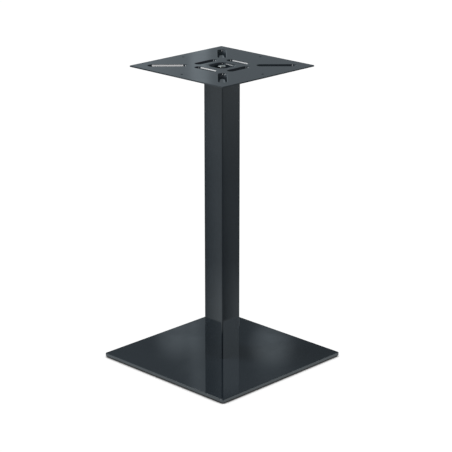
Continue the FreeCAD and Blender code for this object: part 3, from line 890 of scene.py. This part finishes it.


# Painted reflection: brightness the floor shows only to glossy rays, with a painted pool of light round
# the leg.
def painted_floor_reflection(tree, place):
    across = along(tree, place, SCREEN_RIGHT)
    depth = along(tree, place, AWAY)
    reach = distance_from_leg(tree, place)
    pool = remap(tree, reach, *POOL_FADE, POOL, 0)
    left_level = calculate(tree, "ADD", pool, LEFT_FLOOR)
    left = calculate(tree, "MULTIPLY", left_level, remap(tree, depth, *LEFT_BAND))
    right_level = calculate(tree, "MULTIPLY_ADD", pool, RIGHT_POOL_SHARE, RIGHT_FLOOR)
    right = calculate(tree, "MULTIPLY", right_level, remap(tree, depth, *RIGHT_BAND))
    side = remap(tree, across, *SIDE_FADE, 0, 1)
    both = calculate(tree, "MULTIPLY_ADD", calculate(tree, "SUBTRACT", right, left), side, left)
    wide = calculate(tree, "ADD", both, remap(tree, reach, *FAR_FADE, 0, FAR_FLOOR))
    # Painted bright rim just outside the base plate, seen only in the paint's mirror.
    rim = remap(tree, distance_from_plate(tree, place), *RIM_FADE, PAINTED_RIM_GLOW, 0)
    return calculate(tree, "MAXIMUM", wide, rim)


# %% [markdown]
# To the camera the floor glows white, so that it runs off into the white room without a horizon. A
# lit floor would need so much light that the leg would be washed out. Ambient Occlusion darkens the
# glow under and just round the base plate, which gives a painted shadow in place of the object's own.
# Every other ray meets plain pale paint.

# %% Floor
FLOOR_HALF = 60
FLOOR_TINT = (0.87, 0.96, 1)
FLOOR_PALE = (0.8, 0.8, 0.8, 1)
FLOOR_WHITE = 1.04
PAINTED_SHADOW_REACH = 0.12
PAINTED_SHADOW_RANGE = (0.45, 0.78, 0.03, 1)


def floor_material():
    material = bpy.data.materials.new("pale floor")
    material.use_nodes = True
    tree = material.node_tree
    tree.nodes.clear()
    output = tree.nodes.new("ShaderNodeOutputMaterial")
    lit = tree.nodes.new("ShaderNodeBsdfDiffuse")
    lit.inputs["Color"].default_value = FLOOR_PALE
    glow = tree.nodes.new("ShaderNodeEmission")
    rays = tree.nodes.new("ShaderNodeLightPath")
    glossy = rays.outputs["Is Glossy Ray"]
    direct = seen_directly(tree, rays)
    # Glossy rays see the painted floor reflection in a blue tint, and the camera sees plain white.
    tree.links.new(two_tone(tree, direct, FLOOR_TINT, WHITE), glow.inputs["Color"])
    mirrored = calculate(tree, "MULTIPLY", glossy, painted_floor_reflection(tree, object_coordinates(tree)))
    brightness = calculate(tree, "MULTIPLY_ADD", direct, FLOOR_WHITE, mirrored)
    # Painted shadow: Ambient Occlusion darkens the floor's glow near the base plate, both to the camera
    # and in the paint's mirror.
    shade = tree.nodes.new("ShaderNodeAmbientOcclusion")
    shade.samples = 8
    shade.inputs["Distance"].default_value = PAINTED_SHADOW_REACH
    open_share = remap(tree, shade.outputs["AO"], *PAINTED_SHADOW_RANGE)
    tree.links.new(calculate(tree, "MULTIPLY", brightness, open_share), glow.inputs["Strength"])
    mix = tree.nodes.new("ShaderNodeMixShader")
    tree.links.new(calculate(tree, "MAXIMUM", direct, glossy), mix.inputs["Fac"])
    tree.links.new(lit.outputs[0], mix.inputs[1])
    tree.links.new(glow.outputs[0], mix.inputs[2])
    tree.links.new(mix.outputs[0], output.inputs["Surface"])
    return material


bm = bmesh.new()
bmesh.ops.create_grid(bm, x_segments=1, y_segments=1, size=FLOOR_HALF)
bmesh.ops.translate(bm, vec=(0, 0, cad_low.z), verts=bm.verts)
floor_sheet = object_from(bm, "studio_floor")
floor_sheet.data.materials.append(floor_material())
print("floor:", 2 * FLOOR_HALF, "m wide at", cad_low.z, "m")

# %% [markdown]
# The plates are seen at a shallow angle and mirror the room behind them, a little above the horizon.
# Real walls and panels would do, but each would have to be placed by trial. In the world shader a
# direction has its brightness directly, and only glossy rays see it, so all of it is a painted
# reflection. It holds a wall, a darker ceiling, a glow at the left, a painted highlight spot for each
# half of the base plate, a narrow painted strip behind the column and a painted strip at the left for
# its side.

# %% Room as the paint mirrors it
LOW_WALL = 0.40
BACK_WALL = 0.295
WALL_FADE = (0.08, 0.18)
CEILING = (0.125, 0.175)
CEILING_FADE = (0.37, 0.405)
HIGH_FADE = (0.26, 0.33)
LEFT_GLOW = 0.15
LEFT_GLOW_FADE = (0, -0.05)
LEFT_GLOW_LOST_HIGH = 0.75
LEFT_WALL = 0.9
LEFT_WALL_FADE = (-0.35, -0.8)
PAINTED_SPOTS = ((-1.75, 21.8, 0.42), (1.68, 22.1, 0.50))
PAINTED_SPOT_RADIUS = math.radians(0.85)
STRIP = dict(middle=-0.0155, fade=(0.0035, 0.007), strength=0.22)
BEHIND_FADE = (0.5, 0.7)
SIDE_STRIP = dict(middle=-0.045, fade=(0.027, 0.037), strength=3.2)
SIDE_STRIP_FADE = (-0.8, -0.9)


def bearing(azimuth, elevation):
    """A unit vector: azimuth to the right of straight away, both in degrees."""
    turn, lift = math.radians(azimuth), math.radians(elevation)
    level = AWAY * math.cos(turn) + SCREEN_RIGHT * math.sin(turn)
    return level * math.cos(lift) + UP * math.sin(lift)


def painted_wall_reflection(tree, across, rise, high):
    wall = remap(tree, rise, *WALL_FADE, LOW_WALL, BACK_WALL)
    ceiling = remap(tree, rise, *CEILING_FADE, *CEILING)
    level = calculate(tree, "MULTIPLY_ADD", calculate(tree, "SUBTRACT", ceiling, wall), high, wall)
    low_share = calculate(tree, "MULTIPLY_ADD", high, -LEFT_GLOW_LOST_HIGH, 1)
    glow = calculate(tree, "MULTIPLY", remap(tree, across, *LEFT_GLOW_FADE, 0, LEFT_GLOW), low_share)
    level = calculate(tree, "ADD", level, glow)
    return calculate(tree, "ADD", level, remap(tree, across, *LEFT_WALL_FADE, 0, LEFT_WALL))


def painted_room_reflection(tree):
    direction = tree.nodes.new("ShaderNodeTexCoord").outputs["Generated"]
    across = along(tree, direction, SCREEN_RIGHT)
    away = along(tree, direction, AWAY)
    rise = along(tree, direction, UP)
    high = remap(tree, rise, *HIGH_FADE, 0, 1)
    level = painted_wall_reflection(tree, across, rise, high)
    # Painted highlights: a soft spot that each half of the base plate mirrors.
    for azimuth, elevation, strength in PAINTED_SPOTS:
        closeness = along(tree, direction, bearing(azimuth, elevation))
        spot = remap(tree, closeness, math.cos(PAINTED_SPOT_RADIUS), 1, 0, strength)
        level = calculate(tree, "ADD", level, spot)
    # Painted reflections: a narrow strip behind the column and a strip at the left for the column's side.
    strip = soft_band(tree, across, **STRIP)
    behind = remap(tree, away, *BEHIND_FADE, 0, 1)
    level = calculate(tree, "MULTIPLY_ADD", strip, behind, level)
    side_strip = soft_band(tree, away, **SIDE_STRIP)
    left = calculate(tree, "MULTIPLY", remap(tree, across, *SIDE_STRIP_FADE, 0, 1), high)
    return calculate(tree, "MULTIPLY_ADD", side_strip, left, level)


# %% Room
ROOM_TINT = (0.80, 0.92, 1.0)
AMBIENT = 0.55

world = bpy.data.worlds.new("studio room")
bpy.context.scene.world = world
world.use_nodes = True
tree = world.node_tree
rays = tree.nodes.new("ShaderNodeLightPath")
glossy = rays.outputs["Is Glossy Ray"]
# Glossy rays see the painted room reflection, and other rays see a plain, even room.
change = calculate(tree, "SUBTRACT", painted_room_reflection(tree), AMBIENT)
surround = calculate(tree, "MULTIPLY_ADD", change, glossy, AMBIENT)
level = calculate(tree, "MAXIMUM", surround, seen_directly(tree, rays))
background = tree.nodes["Background"]
tree.links.new(level, background.inputs["Strength"])
tree.links.new(two_tone(tree, glossy, WHITE, ROOM_TINT), background.inputs["Color"])
print("room:", len(tree.nodes), "nodes")

# %% [markdown]
# A large soft lamp at the left gives the form, one overhead lights the top plate, and a low one at the
# right keeps the dark side readable. Gloss paint mirrors a lamp as a white shape, and seen from the
# right the large one would whiten the whole top plate. So it is hidden from glossy rays, and a small
# lamp beside it is there for the pressed forms to mirror.

# %% Lamps
def soft_lamp(name, middle, aim, across, size, power, tint=WHITE):
    """An area lamp that faces a point, with its width along the given direction."""
    data = bpy.data.lights.new(name, "AREA")
    data.shape = "RECTANGLE"
    data.size, data.size_y = size
    data.energy = power
    data.color = tint
    lamp = bpy.data.objects.new(name, data)
    back = (middle - aim).normalized()
    side = (across - back * across.dot(back)).normalized()
    turn = Matrix((side, back.cross(side), back)).transposed()
    lamp.location = middle
    lamp.rotation_mode = "QUATERNION"
    lamp.rotation_quaternion = turn.to_quaternion()
    bpy.context.scene.collection.objects.link(lamp)
    print(f"{name}: {power} W")
    return lamp


key = soft_lamp("key", middle=LEFT * 1.6 + UP * 1.4, aim=UP * 0.9, across=AWAY,
                size=(1.2, 1.0), power=28)
key.visible_glossy = False
soft_lamp("key seen in gloss", middle=LEFT * 1.6 + UP * 1.60 + AWAY * 0.08, aim=UP * 0.72, across=AWAY,
          size=(0.36, 0.60), power=7.2)
soft_lamp("overhead", middle=LEFT * 0.20 - AWAY * 1.1 + UP * 2.2, aim=UP * 0.7, across=SCREEN_RIGHT,
          size=(0.26, 0.8), power=7)
soft_lamp("low fill", middle=SCREEN_RIGHT * 1.6 + UP * 0.62 + AWAY * 0.2, aim=UP * 0.3, across=AWAY,
          size=(0.8, 0.4), power=4, tint=ROOM_TINT)

# %% [markdown]
# The camera stands four metres away and looks down on the leg by 18 degrees, straight at its front
# corner, which makes both plates show as slim diamonds. A nearer camera with a wider lens would frame
# it as well, but the top plate would grow against the base plate.

# %% Camera
CAMERA_PLACE = (2.671, -2.705, 1.575)
CAMERA_PITCH = math.radians(18.1)
CAMERA_LENS = 134.75
CAMERA_REACH = 200

camera_data = bpy.data.cameras.new("camera")
camera_data.lens = CAMERA_LENS
camera_data.clip_end = CAMERA_REACH
camera = bpy.data.objects.new("camera", camera_data)
bpy.context.scene.collection.objects.link(camera)
camera.location = CAMERA_PLACE
turn = Matrix.Rotation(VIEW_AZIMUTH, 3, "Z")
tilt = Matrix.Rotation(math.pi / 2 - CAMERA_PITCH, 3, "X")
camera.rotation_mode = "QUATERNION"
camera.rotation_quaternion = (turn @ tilt).to_quaternion()
bpy.context.scene.camera = camera
bpy.context.scene.view_settings.view_transform = "Standard"
print("camera:", CAMERA_PLACE, "lens", CAMERA_LENS, "mm")
